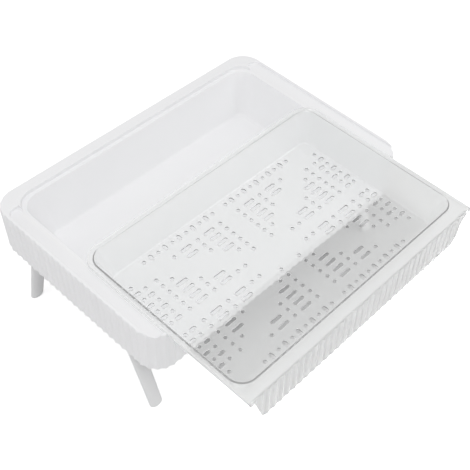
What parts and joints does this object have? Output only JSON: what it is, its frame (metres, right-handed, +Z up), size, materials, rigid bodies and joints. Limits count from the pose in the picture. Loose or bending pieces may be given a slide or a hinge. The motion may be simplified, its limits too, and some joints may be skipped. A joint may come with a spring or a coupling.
{
  "type": "cup drying rack",
  "caption": "Drying rack for cups: a fluted rectangular casing with a sloping basin on splayed oval legs, and a clear perforated drawer tray that slides out at the front.",
  "frame": {"origin": "on the ground, under the middle of the rack's bounding box with the tray pulled out as at rest", "axes": "+X to the right along the length of the casing, -Y out of the front where the tray slides, +Z up"},
  "size_m": [0.38, 0.361, 0.1415],
  "materials": {
    "casing_plastic": "white moulded plastic with a soft sheen",
    "leg_plastic": "white moulded plastic with a soft sheen",
    "tray_clear_plastic": "clear, polished moulded plastic"
  },
  "bodies": {
    "rack": {"casing": "casing_plastic", "leg_front_left": "leg_plastic", "leg_front_right": "leg_plastic", "leg_rear_left": "leg_plastic", "leg_rear_right": "leg_plastic"},
    "tray": {"drawer_tray": "tray_clear_plastic"}
  },
  "joints": [
    {"name": "tray_slide", "type": "slide", "parent": "rack", "child": "tray", "axis": [0, -1, 0], "range_m": [-0.106, 0.01]}
  ]
}
